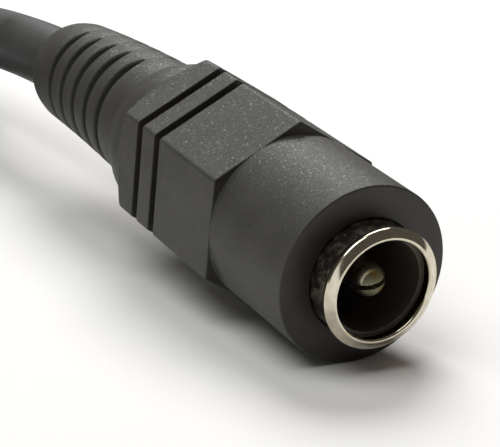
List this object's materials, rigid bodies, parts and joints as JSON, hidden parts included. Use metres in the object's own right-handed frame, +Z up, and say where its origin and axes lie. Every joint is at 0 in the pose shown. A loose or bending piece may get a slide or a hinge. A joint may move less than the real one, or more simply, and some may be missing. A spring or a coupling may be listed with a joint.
{
  "type": "in-line dc power socket on a lead",
  "caption": "Black moulded in-line DC power socket with a nickel-plated barrel, split centre pin, six-sided grip, slotted strain relief and a short tied lead.",
  "frame": {"origin": "on the surface it lies on, under the middle of the socket without its lead", "axes": "+X towards the mouth, level; the socket's own axis dips 6.2 degrees below +X in the XZ plane; +Z up"},
  "size_m": [0.1002, 0.0559, 0.014],
  "materials": {
    "moulded_pvc": "spark-eroded satin",
    "nickel_plate": "bright nickel plate",
    "black_insulator": "satin",
    "plated_brass_pin": "turned and nickel plated",
    "contact_spring": "plated",
    "pale_insulator": "matt",
    "pale_premould": "waxy",
    "solder": "satin",
    "copper_strand": "bright",
    "red_insulation": "satin",
    "black_insulation": "satin",
    "cable_jacket": "satin PVC",
    "tie_strap": "matt",
    "tinned_strand": "tinned"
  },
  "bodies": {
    "root": {"overmould": "moulded_pvc", "barrel_shell": "nickel_plate", "liner": "black_insulator", "centre_pin": "plated_brass_pin", "sleeve_contact": "contact_spring", "rear_insulator": "pale_insulator", "inner_mould": "pale_premould", "solder_pin": "solder", "solder_sleeve": "solder", "wire_positive": "copper_strand", "wire_negative": "copper_strand", "core_positive": "red_insulation", "core_negative": "black_insulation", "jacket_inner": "cable_jacket", "cable_tube": "cable_jacket", "cable_coil": "cable_jacket", "cable_tail": "cable_jacket", "coil_tie": "tie_strap", "end_core_positive": "red_insulation", "end_core_negative": "black_insulation", "end_wire_positive": "tinned_strand", "end_wire_negative": "tinned_strand"}
  },
  "joints": []
}
